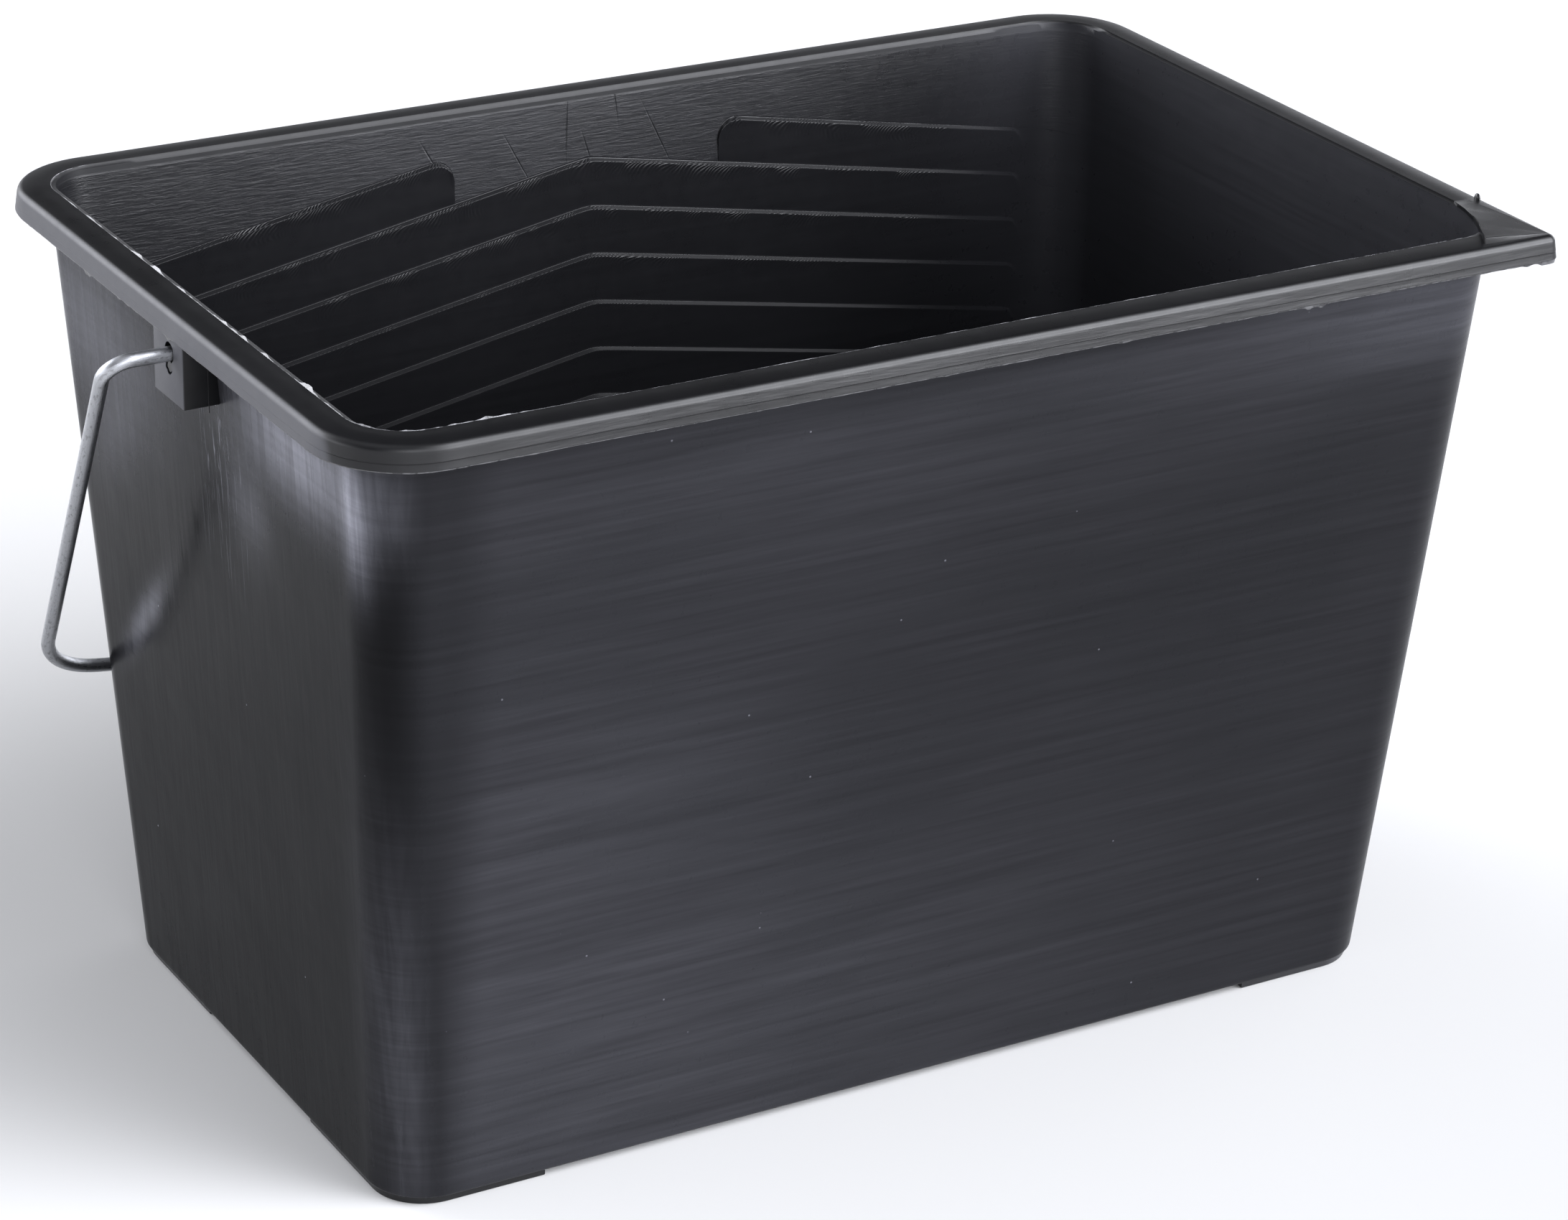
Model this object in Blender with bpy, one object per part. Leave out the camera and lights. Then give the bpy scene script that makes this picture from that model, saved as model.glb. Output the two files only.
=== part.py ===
"""Paint scuttle: a deep rectangular plastic bucket with a grid wall, a pouring corner and a wire bail.

Metres, +Z up. The length runs along X, the front long wall faces -Y, and the feet stand on z = 0.
The bail is drawn hanging back until its crossbar rests on the outside of the back wall.
"""
import math

import bmesh
import bpy
from mathutils import Matrix, Vector

MM = 0.001
WELD_DISTANCE = 0.03 * MM

# Bucket: rim, walls and floor
RIM_HALF_LENGTH = 172.3 * MM
RIM_HALF_WIDTH = 113.9 * MM
RIM_TOP = 220.0 * MM
RIM_CORNER_RADIUS = 25.0 * MM
RIM_EDGE_RADIUS = 3.0 * MM
FLANGE_WIDTH = 8.5 * MM
FLANGE_THICKNESS = 2.2 * MM
SKIRT_HEIGHT = 6.8 * MM
SKIRT_THICKNESS = 1.8 * MM
RIM_TO_WALL = 8.85 * MM
BASE_HALF_LENGTH = 151.0 * MM
BASE_HALF_WIDTH = 85.5 * MM
BODY_CORNER_RADIUS = 15.5 * MM
WALL = 2.0 * MM
FOOT_HEIGHT = 1.8 * MM
FLOOR_THICKNESS = 2.4 * MM
BASE_EDGE_RADIUS = 1.5 * MM
INNER_STEP_DEPTH = 3.0 * MM
CORNER_STEPS = 9

# Pouring corner: the front right corner of the rim stays sharp and carries a raised pad
SPOUT_CORNER_RADIUS = 3.0 * MM
SPOUT_PAD_HEIGHT = 1.6 * MM
SPOUT_PAD_LENGTH = 26.5 * MM
SPOUT_PAD_WIDTH = 31.0 * MM
SPOUT_PAD_TIP_HEIGHT = 0.3 * MM
SPOUT_PAD_MARGIN = 0.5 * MM

# Lugs that hold the bail, one under each end of the rim
LUG_CENTRE_Y = -5.2 * MM
LUG_WIDTH = 18.0 * MM
LUG_BOTTOM = 196.2 * MM
LUG_INSET = 0.2 * MM
HOLE_RADIUS = 2.7 * MM
HOLE_Z = 208.8 * MM
HOLE_Y = -6.0 * MM
HOLE_DEPTH = 8.2 * MM

# Grid: chevron ledges moulded on the inside of the back wall
GRID_END_MARGIN = 1.2 * MM
GRID_SLOPE = math.tan(math.radians(10.0))
GRID_FIRST_APEX = 214.0 * MM
GRID_SECOND_APEX = 200.6 * MM
GRID_PITCH = 13.7 * MM
GRID_COUNT = 12
GRID_GAP_HALF = 45.0 * MM
LEDGE_DEPTH = 1.5 * MM
LEDGE_ROOT = 1.0 * MM

# Feet: an L-shaped pad under each corner of the floor
FOOT_REACH_X = 43.0 * MM
FOOT_REACH_Y = 53.0 * MM
FOOT_BREADTH = 8.0 * MM
FOOT_INSET = 1.1 * MM

# Wire bail
WIRE_RADIUS = 1.9 * MM
WIRE_SIDES = 12
PIVOT_Y = -6.2 * MM
PIVOT_Z = 208.5 * MM
HANG_ANGLE = math.radians(37.75)
LEG_TOP_X = 188.58 * MM
LEG_LEAN = math.atan(0.1075)
BAIL_REACH = 165.1 * MM
TOP_BEND_RADIUS = 6.5 * MM
LOW_BEND_RADIUS = 24.7 * MM
CROSSBAR_BEND_RADIUS = 87.0 * MM
CROSSBAR_BEND = 0.28
WIRE_END_X = 165.2 * MM


def clear_scene():
    for item in list(bpy.data.objects):
        bpy.data.objects.remove(item, do_unlink=True)


def plain_material(name, colour, roughness, metallic):
    material = bpy.data.materials.new(name)
    material.use_nodes = True
    shader = material.node_tree.nodes["Principled BSDF"]
    shader.inputs["Base Color"].default_value = (*colour, 1.0)
    shader.inputs["Roughness"].default_value = roughness
    shader.inputs["Metallic"].default_value = metallic
    return material


def object_from_bmesh(name, mesh_builder, material=None):
    bmesh.ops.recalc_face_normals(mesh_builder, faces=mesh_builder.faces)
    mesh = bpy.data.meshes.new(name)
    mesh_builder.to_mesh(mesh)
    mesh_builder.free()
    item = bpy.data.objects.new(name, mesh)
    bpy.context.scene.collection.objects.link(item)
    if material:
        mesh.materials.append(material)
    return item


def combine(target, other, operation):
    """Join or cut with an exact Boolean, keep the result as the target's mesh and drop the helper."""
    modifier = target.modifiers.new("combine", "BOOLEAN")
    modifier.operation = operation
    modifier.solver = "EXACT"
    modifier.object = other
    graph = bpy.context.evaluated_depsgraph_get()
    result = bpy.data.meshes.new_from_object(target.evaluated_get(graph))
    target.modifiers.clear()
    target.data = result
    bpy.data.objects.remove(other, do_unlink=True)


def wall_half_length(z):
    """Outer half-length of the tapered body at height z."""
    top = RIM_HALF_LENGTH - RIM_TO_WALL
    return BASE_HALF_LENGTH + (top - BASE_HALF_LENGTH) * z / RIM_TOP


def wall_half_width(z):
    """Outer half-width of the tapered body at height z."""
    top = RIM_HALF_WIDTH - RIM_TO_WALL
    return BASE_HALF_WIDTH + (top - BASE_HALF_WIDTH) * z / RIM_TOP


def rounded_outline(half_length, half_width, z, radius, front_right_radius=None):
    """Counter-clockwise rounded rectangle that starts at the right-hand end of the back."""
    corners = ((1, 1, 0.0), (-1, 1, 90.0), (-1, -1, 180.0), (1, -1, 270.0))
    points = []
    for side_x, side_y, start in corners:
        front_right = side_x > 0 > side_y and front_right_radius is not None
        r = front_right_radius if front_right else radius
        centre = Vector((side_x * (half_length - r), side_y * (half_width - r), z))
        for step in range(CORNER_STEPS + 1):
            angle = math.radians(start + 90.0 * step / CORNER_STEPS)
            points.append(centre + Vector((r * math.cos(angle), r * math.sin(angle), 0.0)))
    return points


def body_outline(z, inset, radius):
    return rounded_outline(wall_half_length(z) - inset, wall_half_width(z) - inset, z, radius)


def rim_outline(z, inset):
    radius = RIM_CORNER_RADIUS - inset
    sharp = max(SPOUT_CORNER_RADIUS - inset, 0.6 * MM)
    return rounded_outline(RIM_HALF_LENGTH - inset, RIM_HALF_WIDTH - inset, z, radius, sharp)


def bucket_outlines():
    """Closed outlines from the inside of the floor, up the inside, over the rim and down the outside."""
    outlines = []
    inner_radius = BODY_CORNER_RADIUS - WALL
    floor_top = FOOT_HEIGHT + FLOOR_THICKNESS
    for degrees in (0, 30, 60, 90):
        angle = math.radians(degrees)
        inset = WALL + BASE_EDGE_RADIUS * (1 - math.sin(angle))
        z = floor_top + BASE_EDGE_RADIUS * (1 - math.cos(angle))
        outlines.append(body_outline(z, inset, inner_radius))
    outlines.append(body_outline(RIM_TOP - INNER_STEP_DEPTH, WALL, inner_radius))
    inner = FLANGE_WIDTH
    inner_corner = RIM_CORNER_RADIUS - inner
    for drop in (0.6 * MM, 0.0):
        outlines.append(rounded_outline(RIM_HALF_LENGTH - inner, RIM_HALF_WIDTH - inner,
                                        RIM_TOP - drop, inner_corner))
    for degrees in (90, 60, 30, 0):
        angle = math.radians(degrees)
        inset = RIM_EDGE_RADIUS * (1 - math.cos(angle))
        z = RIM_TOP - RIM_EDGE_RADIUS * (1 - math.sin(angle))
        outlines.append(rim_outline(z, inset))
    skirt_bottom = RIM_TOP - SKIRT_HEIGHT
    flange_under = RIM_TOP - FLANGE_THICKNESS
    outlines.append(rim_outline(skirt_bottom, 0.0))
    outlines.append(rim_outline(skirt_bottom, SKIRT_THICKNESS))
    outlines.append(rim_outline(flange_under - 1.0 * MM, SKIRT_THICKNESS))
    outlines.append(rim_outline(flange_under, SKIRT_THICKNESS + 1.0 * MM))
    outlines.append(body_outline(flange_under, 0.0, BODY_CORNER_RADIUS))
    for degrees in (90, 60, 30, 0):
        angle = math.radians(degrees)
        inset = BASE_EDGE_RADIUS * (1 - math.sin(angle))
        z = FOOT_HEIGHT + BASE_EDGE_RADIUS * (1 - math.cos(angle))
        outlines.append(body_outline(z, inset, BODY_CORNER_RADIUS))
    return outlines


def loft(outlines):
    """One closed skin through the outlines, capped flat at both ends."""
    builder = bmesh.new()
    rings = [[builder.verts.new(point) for point in outline] for outline in outlines]
    count = len(rings[0])
    for lower, upper in zip(rings, rings[1:]):
        for i in range(count):
            j = (i + 1) % count
            builder.faces.new((lower[i], lower[j], upper[j], upper[i]))
    builder.faces.new(rings[0])
    builder.faces.new(reversed(rings[-1]))
    return builder


def prism(lower, upper):
    """Closed solid between two matching closed outlines, with its ends cut into flat triangles."""
    builder = bmesh.new()
    first = [builder.verts.new(point) for point in lower]
    second = [builder.verts.new(point) for point in upper]
    ends = [builder.faces.new(first), builder.faces.new(reversed(second))]
    bmesh.ops.triangulate(builder, faces=ends)
    for i in range(len(first)):
        j = (i + 1) % len(first)
        builder.faces.new((first[i], first[j], second[j], second[i]))
    return builder


def box(low, high):
    corners = [(low[0], low[1]), (high[0], low[1]), (high[0], high[1]), (low[0], high[1])]
    return prism([Vector((x, y, low[2])) for x, y in corners],
                 [Vector((x, y, high[2])) for x, y in corners])


def ledge(x_from, x_to, apex_z):
    """A wedge on the back wall: flat on top, fading into the wall below, and lower towards the ends."""
    lower_drop = GRID_PITCH - 0.5 * MM

    def section(x):
        z = apex_z - GRID_SLOPE * abs(x)
        low = z - lower_drop
        surface = wall_half_width(z) - WALL
        low_surface = wall_half_width(low) - WALL
        return [Vector((x, surface + LEDGE_ROOT, z)), Vector((x, surface - LEDGE_DEPTH, z)),
                Vector((x, low_surface + 0.1 * MM, low)),
                Vector((x, low_surface + LEDGE_ROOT, low))]

    stations = [x_from, 0.0, x_to] if x_from < 0.0 < x_to else [x_from, x_to]
    builder = bmesh.new()
    rings = [[builder.verts.new(point) for point in section(x)] for x in stations]
    builder.faces.new(rings[0])
    builder.faces.new(reversed(rings[-1]))
    for near, far in zip(rings, rings[1:]):
        for i in range(4):
            j = (i + 1) % 4
            builder.faces.new((near[i], near[j], far[j], far[i]))
    return builder


def ledge_end(apex_z):
    """Where a ledge stops: just short of the rounded corner of the tapered body."""
    end_z = apex_z - GRID_SLOPE * BASE_HALF_LENGTH
    return wall_half_length(end_z) - BODY_CORNER_RADIUS - GRID_END_MARGIN


def add_grid(bucket):
    end = ledge_end(GRID_FIRST_APEX)
    spans = [(-end, -GRID_GAP_HALF, GRID_FIRST_APEX), (GRID_GAP_HALF, end, GRID_FIRST_APEX)]
    for row in range(GRID_COUNT):
        apex_z = GRID_SECOND_APEX - row * GRID_PITCH
        end = ledge_end(apex_z)
        spans.append((-end, end, apex_z))
    for x_from, x_to, apex_z in spans:
        combine(bucket, object_from_bmesh("ledge", ledge(x_from, x_to, apex_z)), "UNION")


def add_feet(bucket):
    for side_x in (-1, 1):
        for side_y in (-1, 1):
            outer = FOOT_INSET
            inner = FOOT_INSET + FOOT_BREADTH
            half_length = BASE_HALF_LENGTH
            half_width = BASE_HALF_WIDTH
            radius = BODY_CORNER_RADIUS - FOOT_INSET
            centre_x = half_length - outer - radius
            centre_y = half_width - outer - radius
            end_x = half_length - FOOT_REACH_X
            end_y = half_width - FOOT_REACH_Y
            path = [(end_x, half_width - outer)]
            for step in range(CORNER_STEPS + 1):
                angle = math.radians(90.0 - 90.0 * step / CORNER_STEPS)
                path.append((centre_x + radius * math.cos(angle), centre_y + radius * math.sin(angle)))
            path.append((half_length - outer, end_y))
            back = [(half_length - inner, end_y)]
            small = radius - FOOT_BREADTH
            for step in range(CORNER_STEPS + 1):
                angle = math.radians(90.0 * step / CORNER_STEPS)
                back.append((centre_x + small * math.cos(angle), centre_y + small * math.sin(angle)))
            back.append((end_x, half_width - inner))
            outline = [(side_x * x, side_y * y) for x, y in path + back]
            low = [Vector((x, y, 0.0)) for x, y in outline]
            high = [Vector((x, y, FOOT_HEIGHT + FLOOR_THICKNESS / 3)) for x, y in outline]
            combine(bucket, object_from_bmesh("foot", prism(low, high)), "UNION")


def add_spout_pad(bucket):
    """Raised triangle on the sharp corner of the rim, thickest at the mouth and thin at the tip."""
    margin = RIM_EDGE_RADIUS + SPOUT_PAD_MARGIN
    tip = Vector((RIM_HALF_LENGTH - margin, -RIM_HALF_WIDTH + margin, 0.0))
    inner_x = RIM_HALF_LENGTH - FLANGE_WIDTH + SPOUT_PAD_MARGIN
    inner_y = -RIM_HALF_WIDTH + FLANGE_WIDTH - SPOUT_PAD_MARGIN
    mouth_x = RIM_HALF_LENGTH - SPOUT_PAD_LENGTH
    mouth_y = -RIM_HALF_WIDTH + SPOUT_PAD_WIDTH
    radius = RIM_CORNER_RADIUS - FLANGE_WIDTH + SPOUT_PAD_MARGIN
    centre = Vector((inner_x - radius, inner_y + radius, 0.0))
    outline = [Vector((mouth_x, tip.y, 0.0)), tip, Vector((tip.x, mouth_y, 0.0))]
    outline.append(Vector((inner_x, mouth_y, 0.0)))
    for step in range(CORNER_STEPS + 1):
        angle = math.radians(-90.0 * step / CORNER_STEPS)
        outline.append(centre + Vector((radius * math.cos(angle), radius * math.sin(angle), 0.0)))
    outline.append(Vector((mouth_x, inner_y, 0.0)))
    reach = (outline[-1] - tip).length

    def top(point):
        share = min((point - tip).length / reach, 1.0)
        return RIM_TOP + SPOUT_PAD_TIP_HEIGHT + (SPOUT_PAD_HEIGHT - SPOUT_PAD_TIP_HEIGHT) * share

    low = [Vector((p.x, p.y, RIM_TOP - FLANGE_THICKNESS / 2)) for p in outline]
    high = [Vector((p.x, p.y, top(p))) for p in outline]
    combine(bucket, object_from_bmesh("pad", prism(low, high)), "UNION")


def add_lugs(bucket):
    for side in (-1, 1):
        outer = side * (RIM_HALF_LENGTH - LUG_INSET)
        root = side * (wall_half_length(LUG_BOTTOM) - 0.8 * MM)
        low = (min(outer, root), LUG_CENTRE_Y - LUG_WIDTH / 2, LUG_BOTTOM)
        high = (max(outer, root), LUG_CENTRE_Y + LUG_WIDTH / 2, RIM_TOP - FLANGE_THICKNESS + 0.8 * MM)
        combine(bucket, object_from_bmesh("lug", box(low, high)), "UNION")
        bottom = outer - side * HOLE_DEPTH
        ring = []
        for step in range(24):
            angle = 2 * math.pi * step / 24
            ring.append((HOLE_Y + HOLE_RADIUS * math.cos(angle), HOLE_Z + HOLE_RADIUS * math.sin(angle)))
        cutter = prism([Vector((bottom, y, z)) for y, z in ring],
                       [Vector((outer + side * 2 * MM, y, z)) for y, z in ring])
        combine(bucket, object_from_bmesh("drill", cutter), "DIFFERENCE")


def weld(item):
    """Turn every face into flat triangles and close the hairline edges that the Booleans leave."""
    builder = bmesh.new()
    builder.from_mesh(item.data)
    bmesh.ops.triangulate(builder, faces=builder.faces)
    bmesh.ops.remove_doubles(builder, verts=builder.verts, dist=WELD_DISTANCE)
    builder.to_mesh(item.data)
    builder.free()


def shade_by_angle(item, degrees):
    """Smooth shading, kept sharp where faces meet at more than the given angle."""
    for face in item.data.polygons:
        face.use_smooth = True
    item.data.set_sharp_from_angle(angle=math.radians(degrees))


def make_bucket():
    bucket = object_from_bmesh("bucket_body", loft(bucket_outlines()))
    add_grid(bucket)
    add_feet(bucket)
    add_spout_pad(bucket)
    add_lugs(bucket)
    weld(bucket)
    bucket.data.materials.clear()
    bucket.data.materials.append(plain_material("black_plastic", (0.012, 0.013, 0.016), 0.42, 0.0))
    shade_by_angle(bucket, 30.0)
    return bucket


def arc(centre, radius, start, end, steps):
    points = []
    for step in range(steps + 1):
        angle = start + (end - start) * step / steps
        points.append((centre[0] + radius * math.cos(angle), centre[1] + radius * math.sin(angle)))
    return points


def bail_half_path():
    """Right half of the bail in its own plane, from the crossbar's middle to the end in the lug.

    The first value is x, the second runs away from the pivot line along the legs.
    """
    leg_heading = math.pi / 2 - LEG_LEAN
    run = CROSSBAR_BEND_RADIUS * math.sin(CROSSBAR_BEND)
    rise = CROSSBAR_BEND_RADIUS * (1 - math.cos(CROSSBAR_BEND))
    run += LOW_BEND_RADIUS * (math.sin(leg_heading) - math.sin(CROSSBAR_BEND))
    rise += LOW_BEND_RADIUS * (math.cos(CROSSBAR_BEND) - math.cos(leg_heading))
    leg_start = BAIL_REACH - rise
    leg_start_x = LEG_TOP_X - math.tan(LEG_LEAN) * leg_start
    straight_end = leg_start_x - run
    points = [(straight_end * step / 6, BAIL_REACH) for step in range(6)]
    points += arc((straight_end, BAIL_REACH - CROSSBAR_BEND_RADIUS), CROSSBAR_BEND_RADIUS,
                  math.pi / 2, math.pi / 2 - CROSSBAR_BEND, 6)
    x, reach = points[-1]
    centre = (x - LOW_BEND_RADIUS * math.sin(CROSSBAR_BEND),
              reach - LOW_BEND_RADIUS * math.cos(CROSSBAR_BEND))
    points += arc(centre, LOW_BEND_RADIUS, math.pi / 2 - CROSSBAR_BEND, LEG_LEAN, 10)[1:]
    turn = math.pi / 2 + LEG_LEAN
    tangent = TOP_BEND_RADIUS * math.tan(turn / 2)
    bend_start = (LEG_TOP_X - tangent * math.sin(LEG_LEAN), tangent * math.cos(LEG_LEAN))
    x, reach = points[-1]
    for step in range(1, 5):
        share = step / 5
        points.append((x + (bend_start[0] - x) * share, reach + (bend_start[1] - reach) * share))
    bend_centre = (LEG_TOP_X - tangent, TOP_BEND_RADIUS)
    points += arc(bend_centre, TOP_BEND_RADIUS, LEG_LEAN, -math.pi / 2, 9)
    points.append((WIRE_END_X, 0.0))
    return points


def make_bail():
    half = bail_half_path()
    path = [(-x, reach) for x, reach in reversed(half[1:])] + half
    centres = [Vector((x, 0.0, -reach)) for x, reach in path]
    builder = bmesh.new()
    rings = []
    for index, centre in enumerate(centres):
        before = centres[max(index - 1, 0)]
        after = centres[min(index + 1, len(centres) - 1)]
        forward = (after - before).normalized()
        across = Vector((0.0, 1.0, 0.0))
        side = forward.cross(across)
        ring = []
        for step in range(WIRE_SIDES):
            angle = 2 * math.pi * step / WIRE_SIDES
            offset = across * math.cos(angle) + side * math.sin(angle)
            ring.append(builder.verts.new(centre + WIRE_RADIUS * offset))
        rings.append(ring)
    for near, far in zip(rings, rings[1:]):
        for i in range(WIRE_SIDES):
            j = (i + 1) % WIRE_SIDES
            builder.faces.new((near[i], near[j], far[j], far[i]))
    builder.faces.new(rings[0])
    builder.faces.new(reversed(rings[-1]))
    steel = plain_material("galvanised_wire", (0.42, 0.43, 0.45), 0.38, 1.0)
    bail = object_from_bmesh("wire_bail", builder, steel)
    bail.data.transform(Matrix.Rotation(HANG_ANGLE, 4, "X"))
    bail.location = (0.0, PIVOT_Y, PIVOT_Z)
    shade_by_angle(bail, 40.0)
    return bail


clear_scene()
make_bucket()
make_bail()
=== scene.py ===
"""Looks of a paint scuttle: a moulded bucket with a grid wall, a pouring corner and a wire bail.

Metres, +Z up, the same frame as the CAD. The bucket is one skin of matching rows: up the inside with its
chevron ledges, over the rim and down the outside. The flash, the lugs, the feet and the wire are pieces
of their own.
"""

import math

import bmesh
import bpy
from mathutils import Matrix, Vector, noise


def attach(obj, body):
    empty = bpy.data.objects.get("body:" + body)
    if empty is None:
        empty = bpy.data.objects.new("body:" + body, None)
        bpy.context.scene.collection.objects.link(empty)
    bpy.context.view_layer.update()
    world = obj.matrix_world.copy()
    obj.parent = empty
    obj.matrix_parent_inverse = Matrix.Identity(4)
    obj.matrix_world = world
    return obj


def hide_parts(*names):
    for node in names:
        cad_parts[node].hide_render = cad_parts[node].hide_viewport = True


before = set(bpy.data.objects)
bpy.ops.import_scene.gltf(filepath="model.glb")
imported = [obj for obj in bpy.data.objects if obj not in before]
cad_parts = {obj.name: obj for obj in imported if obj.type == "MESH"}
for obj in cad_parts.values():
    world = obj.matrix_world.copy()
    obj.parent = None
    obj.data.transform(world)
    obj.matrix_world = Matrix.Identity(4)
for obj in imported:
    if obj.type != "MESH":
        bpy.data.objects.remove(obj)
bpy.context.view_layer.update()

MM = 0.001

# Bucket sizes, the same as the CAD
RIM_HALF_LENGTH = 172.3 * MM
RIM_HALF_WIDTH = 113.9 * MM
RIM_TOP = 220.0 * MM
RIM_CORNER_RADIUS = 25.0 * MM
FLANGE_WIDTH = 9.1 * MM
BACK_RIGHT_EXTRA = 1.0 * MM
CROWN_INSET = 6.8 * MM
CROWN_RADIUS = 24.0 * MM
CROWN_TILT = 11.0
RIM_EDGE_RADIUS = 2.0 * MM
RIM_EDGE_TILT = 82.0
PARTING_Z = 215.2 * MM
FLANGE_THICKNESS = 2.2 * MM
SKIRT_HEIGHT = 6.8 * MM
RIM_TO_WALL = 8.85 * MM
BASE_HALF_LENGTH = 151.0 * MM
BASE_HALF_WIDTH = 85.5 * MM
BODY_CORNER_RADIUS = 15.5 * MM
WALL = 2.0 * MM
FOOT_HEIGHT = 1.8 * MM
FLOOR_THICKNESS = 2.4 * MM
BASE_EDGE_RADIUS = 1.5 * MM
SPOUT_CORNER_RADIUS = 3.0 * MM
SPOUT_LEAST_RADIUS = 0.6 * MM
SPOUT_PAD_HEIGHT = 1.6 * MM
INNER_RADIUS = BODY_CORNER_RADIUS - WALL
FLOOR_TOP = FOOT_HEIGHT + FLOOR_THICKNESS
FLANGE_UNDER = RIM_TOP - FLANGE_THICKNESS
OUTER_FILLET = 0.6 * MM

# Grid
GRID_SLOPE = math.tan(math.radians(10.0))
GRID_PITCH = 13.7 * MM
GRID_APEXES = [214.0 * MM] + [(200.6 - 13.7 * row) * MM for row in range(12)]
GRID_END_MARGIN = 1.2 * MM
GRID_FADE = 6.0 * MM
GRID_APEX_ROUND = 2.0 * MM
PANEL_EDGE_X = 41.5 * MM
PANEL_CORNER_RADIUS = 7.0 * MM
LEDGE_DEPTH = 1.15 * MM
LEDGE_LIFT = 0.3 * MM
# One ledge, from its top down: (kind of height, height, share of the ledge's depth)
LEDGE_ROWS = (("line", 0.34, 0.0), ("line", 0.26, 0.03), ("line", 0.20, 0.12), ("line", -0.20, 0.86),
              ("line", -0.28, 0.97), ("line", -0.40, 1.0), ("ramp", 0.055, 1.0), ("ramp", 0.5, 0.5),
              ("ramp", 0.96, 0.0))
FOOT_DROP = 0.35
FOOT_CLEARANCE = 1.5 * MM

# Strip above the grid
STRIP_END = 134.5 * MM
STRIP_LOW = 218.8 * MM
STRIP_HIGH = 219.15 * MM
STRIP_RIGHT = 219.5 * MM
# Rows between the top ledge and the strip: (share of the height, extra height in mm)
UPPER_WALL_ROWS = ((0.0, 0.15), (0.0, 0.5), (0.35, 0.0), (0.7, 0.0), (0.94, 0.0))
# Rows of the strip's edge in mm: (inset past the flange, drop below the rim's top, drop on the right)
STRIP_ROWS = ((0.2, 0.45, 0.15), (0.05, 0.15, 0.07))

# Rows down the 1.8 mm skirt in mm, each (height, inset): round the parting line, at the lower end and back
# up on the inside
PARTING_ROWS = ((0.5, 0.30), (0.12, 0.24), (0.04, 0.32), (-0.08, 0.32), (-0.14, 0.24), (-0.5, 0.20))
SKIRT_END_ROWS = ((0.45, 0.04), (0.2, 0.0), (0.05, 0.08), (0.0, 0.3), (0.0, 1.6), (0.2, 1.8))
UNDERSIDE_ROWS = ((-1.0, 1.8), (-0.3, 2.1), (0.0, 2.8))

# Mesh density
CORNER_STEPS = 16
LONG_FIXED = 128.0 * MM
SHORT_FIXED = 66.0 * MM
LONG_SPACING = 3.2 * MM
SHORT_SPACING = 4.0 * MM
END_STEPS = 9
CROWN_STEPS = 6
RIM_EDGE_STEPS = 10
OUTSIDE_STEPS = 36
BASE_EDGE_DEGREES = (0, 15, 30, 45, 60, 75, 90)
FLOOR_MARGIN = 3.0 * MM


def half_length_at(z):
    top = RIM_HALF_LENGTH - RIM_TO_WALL
    return BASE_HALF_LENGTH + (top - BASE_HALF_LENGTH) * z / RIM_TOP


def half_width_at(z):
    top = RIM_HALF_WIDTH - RIM_TO_WALL
    return BASE_HALF_WIDTH + (top - BASE_HALF_WIDTH) * z / RIM_TOP


def ease(value, start=0.0, end=1.0):
    """0 up to the start and 1 from the end on, with a smooth step between them."""
    share = min(max((value - start) / (end - start), 0.0), 1.0)
    return share * share * (3.0 - 2.0 * share)


def turns(count):
    """Angles evenly round a full turn."""
    return [2 * math.pi * step / count for step in range(count)]


def fixed_positions(limit, spacing, extras=()):
    """Positions along a straight side, from -limit to limit, closer together at the extras."""
    count = int(round(2 * limit / spacing))
    regular = [-limit + 2 * limit * i / count for i in range(count + 1)]
    near = 0.6 * spacing
    kept = [p for p in regular if all(abs(p - e) > near for e in extras)]
    return sorted(kept + list(extras))


# Closer rows of points by the panel's corners and the middle, where the ledges bend
bends = [PANEL_EDGE_X + d * MM for d in (-0.08, 0.08, 0.5, 1.2, 2.3, 3.8, 5.4, 7.1)]
bends += [d * MM for d in (0.9, 2.0, 3.6)]
LONG_POSITIONS = fixed_positions(LONG_FIXED, LONG_SPACING, [0.0] + bends + [-p for p in bends])
SHORT_POSITIONS = fixed_positions(SHORT_FIXED, SHORT_SPACING)


def make_stations():
    """The places round the outline, counter-clockwise: (side, kind, value)."""
    stations = []
    for corner, side, positions in (("back_right", "back", LONG_POSITIONS[::-1]),
                                    ("back_left", "left", SHORT_POSITIONS[::-1]),
                                    ("front_left", "front", LONG_POSITIONS),
                                    ("front_right", "right", SHORT_POSITIONS)):
        stations += [(corner, "corner", 90.0 * step / CORNER_STEPS) for step in range(CORNER_STEPS + 1)]
        stations += [(side, "start", step) for step in range(END_STEPS, 0, -1)]
        stations += [(side, "fixed", position) for position in positions]
        stations += [(side, "end", step) for step in range(1, END_STEPS + 1)]
    return stations


STATIONS = make_stations()
CORNERS = {"back_right": (1, 1, 0.0), "back_left": (-1, 1, 90.0),
           "front_left": (-1, -1, 180.0), "front_right": (1, -1, 270.0)}
# For each straight side: its axis (0 is x), the sign of its other coordinate, and its running direction
SIDES = {"back": (0, 1, -1), "left": (1, -1, -1), "front": (0, -1, 1), "right": (1, 1, 1)}


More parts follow.
